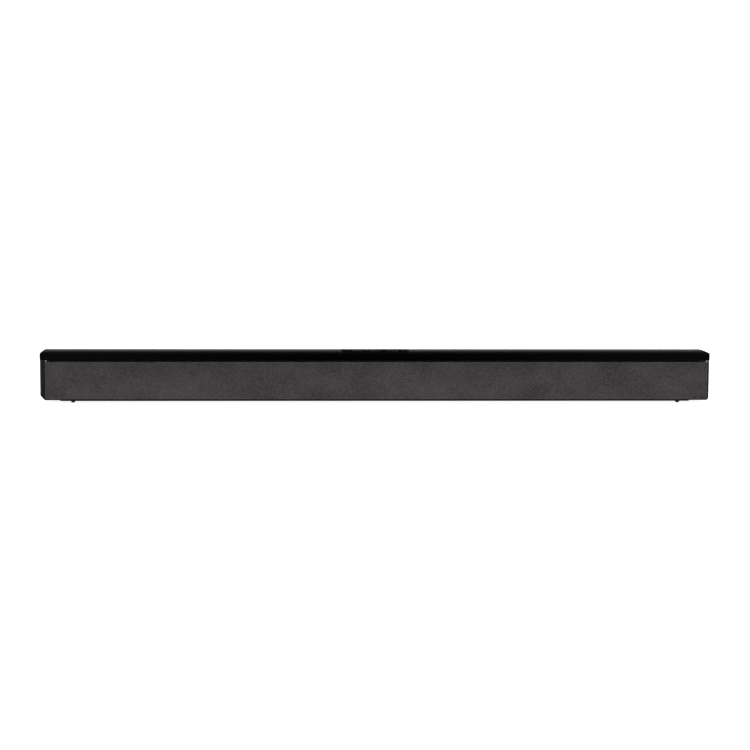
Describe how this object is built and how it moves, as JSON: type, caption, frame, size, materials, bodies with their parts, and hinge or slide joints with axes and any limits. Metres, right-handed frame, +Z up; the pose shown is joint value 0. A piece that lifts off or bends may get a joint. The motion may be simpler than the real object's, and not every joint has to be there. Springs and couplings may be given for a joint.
{
  "type": "soundbar",
  "caption": "Slim soundbar with a gloss black top cover, a cloth-covered front, push keys on top, end caps, rubber feet and a rear connector recess.",
  "frame": {"origin": "centre of the footprint, on the surface that the feet stand on", "axes": "+X to the right seen from the front, +Y from the front to the back, +Z up"},
  "size_m": [0.914, 0.084, 0.0695],
  "materials": {
    "gloss_cover": "high gloss black",
    "black_moulding": "fine matt texture",
    "key_plastic": "satin black",
    "grille_cloth": "woven charcoal grille cloth",
    "grey_moulding": "matt grey moulding",
    "foot_rubber": "matt rubber",
    "steel": "plated steel",
    "ferrite": "dull grey ferrite",
    "cone_paper": "coated paper cone",
    "circuit_board": "green solder resist with components",
    "aluminium": "extruded fins",
    "socket_plastic": "satin black"
  },
  "bodies": {
    "cabinet": {"top_cover": "gloss_cover", "control_panel": "black_moulding", "left_end_cap": "black_moulding", "right_end_cap": "black_moulding", "front_baffle": "black_moulding", "chassis": "black_moulding", "base_plate": "black_moulding", "left_chamber_wall": "black_moulding", "right_chamber_wall": "black_moulding", "rear_panel": "black_moulding", "left_rear_panel": "black_moulding", "right_rear_panel": "black_moulding", "left_bass_port": "black_moulding", "right_bass_port": "black_moulding", "connector_tray": "black_moulding", "grille_cloth": "grille_cloth", "grille_frame": "grey_moulding", "front_left_foot": "foot_rubber", "front_right_foot": "foot_rubber", "rear_left_foot": "foot_rubber", "rear_right_foot": "foot_rubber", "left_wall_hook": "steel", "right_wall_hook": "steel", "hdmi_socket": "steel", "usb_socket": "steel", "rear_screw_upper_left_end": "steel", "rear_screw_upper_left_middle": "steel", "rear_screw_upper_right_middle": "steel", "rear_screw_upper_right_end": "steel", "rear_screw_lower_left": "steel", "rear_screw_lower_right": "steel", "mains_inlet": "socket_plastic", "optical_socket": "socket_plastic", "aux_socket": "socket_plastic", "main_board": "circuit_board", "power_board": "circuit_board", "control_board": "circuit_board", "indicator_board": "circuit_board", "heat_sink": "aluminium", "left_inner_driver_basket": "steel", "left_inner_driver_magnet": "ferrite", "left_inner_driver_surround": "foot_rubber", "left_outer_driver_basket": "steel", "left_outer_driver_magnet": "ferrite", "left_outer_driver_surround": "foot_rubber", "right_inner_driver_basket": "steel", "right_inner_driver_magnet": "ferrite", "right_inner_driver_surround": "foot_rubber", "right_outer_driver_basket": "steel", "right_outer_driver_magnet": "ferrite", "right_outer_driver_surround": "foot_rubber"},
    "power_key": {"power_key": "key_plastic"},
    "source_key": {"source_key": "key_plastic"},
    "volume_down_key": {"volume_down_key": "key_plastic"},
    "volume_up_key": {"volume_up_key": "key_plastic"},
    "optical_shutter": {"optical_shutter": "socket_plastic"},
    "left_inner_cone": {"left_inner_driver_cone": "cone_paper"},
    "left_outer_cone": {"left_outer_driver_cone": "cone_paper"},
    "right_inner_cone": {"right_inner_driver_cone": "cone_paper"},
    "right_outer_cone": {"right_outer_driver_cone": "cone_paper"}
  },
  "joints": [
    {"name": "power_key_press", "type": "slide", "parent": "cabinet", "child": "power_key", "axis": [0, 0, -1], "range_m": [0, 0.0005], "stiffness_N_per_m": 4000},
    {"name": "source_key_press", "type": "slide", "parent": "cabinet", "child": "source_key", "axis": [0, 0, -1], "range_m": [0, 0.0005], "stiffness_N_per_m": 4000},
    {"name": "volume_down_key_press", "type": "slide", "parent": "cabinet", "child": "volume_down_key", "axis": [0, 0, -1], "range_m": [0, 0.0005], "stiffness_N_per_m": 4000},
    {"name": "volume_up_key_press", "type": "slide", "parent": "cabinet", "child": "volume_up_key", "axis": [0, 0, -1], "range_m": [0, 0.0005], "stiffness_N_per_m": 4000},
    {"name": "left_inner_cone_travel", "type": "slide", "parent": "cabinet", "child": "left_inner_cone", "axis": [0, -1, 0], "range_m": [-0.0025, 0.0025], "stiffness_N_per_m": 1200, "deforming": ["left_inner_driver_surround"]},
    {"name": "left_outer_cone_travel", "type": "slide", "parent": "cabinet", "child": "left_outer_cone", "axis": [0, -1, 0], "range_m": [-0.0025, 0.0025], "stiffness_N_per_m": 1200, "deforming": ["left_outer_driver_surround"]},
    {"name": "right_inner_cone_travel", "type": "slide", "parent": "cabinet", "child": "right_inner_cone", "axis": [0, -1, 0], "range_m": [-0.0025, 0.0025], "stiffness_N_per_m": 1200, "deforming": ["right_inner_driver_surround"]},
    {"name": "right_outer_cone_travel", "type": "slide", "parent": "cabinet", "child": "right_outer_cone", "axis": [0, -1, 0], "range_m": [-0.0025, 0.0025], "stiffness_N_per_m": 1200, "deforming": ["right_outer_driver_surround"]},
    {"name": "optical_shutter_swing", "type": "hinge", "parent": "cabinet", "child": "optical_shutter", "pos_m": [0.003, 0.0191, 0.0309], "axis": [-1, 0, 0], "range_deg": [0, 80], "stiffness_Nm_per_rad": 0.0008}
  ]
}
